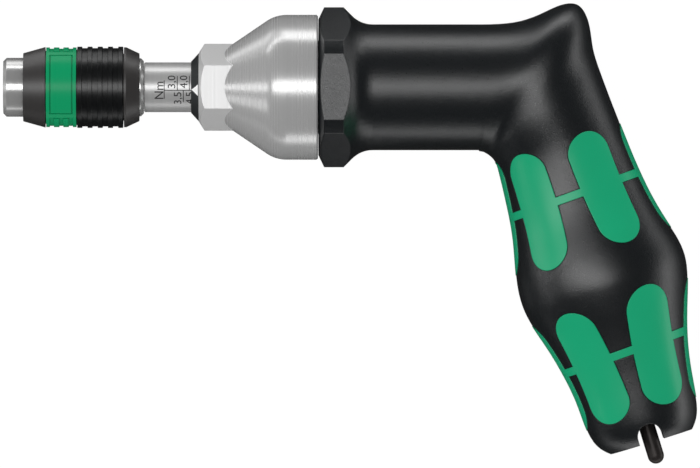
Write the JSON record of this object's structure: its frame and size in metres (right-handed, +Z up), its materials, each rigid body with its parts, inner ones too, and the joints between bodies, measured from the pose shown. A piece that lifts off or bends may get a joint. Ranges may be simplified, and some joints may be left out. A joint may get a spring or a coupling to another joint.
{
  "type": "torque screwdriver",
  "caption": "Pistol-grip torque screwdriver, lying on its side, with a turning setting cap, a scale tube that slides out of it and a quick-release bit chuck.",
  "frame": {"origin": "middle of the bit socket's mouth, on the drive axis", "axes": "+X along the drive axis from the socket back to the handle; the grip leans towards -Y; +Z up, as the tool lies on its side"},
  "size_m": [0.1566, 0.104, 0.033],
  "materials": {
    "handle": "fine-grained",
    "grip_insert": "smooth, soft",
    "key": "blackened",
    "seal": "matt",
    "steel": "ground",
    "spring_steel": "drawn",
    "bronze": "turned",
    "cap": "fine-turned",
    "pointer": "blackened",
    "tube": "satin",
    "chuck": "polished",
    "sleeve": "satin",
    "colour_ring": "satin"
  },
  "bodies": {
    "handle": {"handle_body": "handle", "upper_grip_insert": "grip_insert", "lower_grip_insert": "grip_insert", "key_grip_ring": "seal", "mechanism_housing": "steel", "housing_screws": "steel", "housing_end_plug": "steel", "tube_guide_pin": "steel", "cap_snap_ring": "spring_steel", "cap_friction_ring": "seal", "cap_thrust_washer": "bronze", "front_spring_washer": "steel", "torque_spring": "spring_steel"},
    "cap": {"setting_cap": "cap", "pointer_ring": "pointer"},
    "carriage": {"scale_tube": "tube", "front_bush": "bronze", "rear_bush": "bronze", "rear_spring_washer": "steel", "clutch_ring": "steel", "clutch_balls": "steel"},
    "drive": {"drive_shaft": "steel", "thrust_collar": "tube", "chuck_cross_pin": "steel", "chuck_body": "chuck", "bit_magnet": "steel", "chuck_circlip": "spring_steel", "sleeve_spring": "spring_steel", "cam_disc": "steel", "shaft_nut": "steel"},
    "ball": {"lock_ball": "steel"},
    "slide": {"slide_bush": "steel", "spring_stop": "steel"},
    "sleeve": {"sleeve_nose": "sleeve", "colour_ring": "colour_ring", "grip_sleeve": "sleeve", "sleeve_tail": "sleeve"},
    "key": {"setting_key": "key"}
  },
  "joints": [
    {"name": "setting_turn", "type": "hinge", "parent": "handle", "child": "cap", "pos_m": [0, 0, 0], "axis": [1, 0, 0], "range_deg": [-720.5, 1441]},
    {"name": "setting_travel", "type": "slide", "parent": "handle", "child": "carriage", "axis": [-1, 0, 0], "range_m": [-0.00272, 0.00544], "deforming": ["torque_spring"]},
    {"name": "slip_spin", "type": "hinge", "parent": "carriage", "child": "drive", "pos_m": [0, 0, 0], "axis": [1, 0, 0], "continuous": true},
    {"name": "sleeve_release", "type": "slide", "parent": "drive", "child": "slide", "axis": [-1, 0, 0], "range_m": [0, 0.003], "stiffness_N_per_m": 500, "springref_m": -0.003, "deforming": ["sleeve_spring"]},
    {"name": "sleeve_spin", "type": "hinge", "parent": "slide", "child": "sleeve", "pos_m": [0, 0, 0], "axis": [1, 0, 0], "continuous": true},
    {"name": "ball_lift", "type": "slide", "parent": "drive", "child": "ball", "axis": [0, 1, 0], "range_m": [0, 0.0007]},
    {"name": "key_pull", "type": "slide", "parent": "handle", "child": "key", "axis": [0.2965, -0.955, 0], "range_m": [0, 0.055]}
  ],
  "couplings": [
    {"joint": "setting_turn", "follows": "setting_travel", "rad_per_m": 4620},
    {"joint": "ball_lift", "follows": "sleeve_release", "ratio": 0.2333}
  ]
}
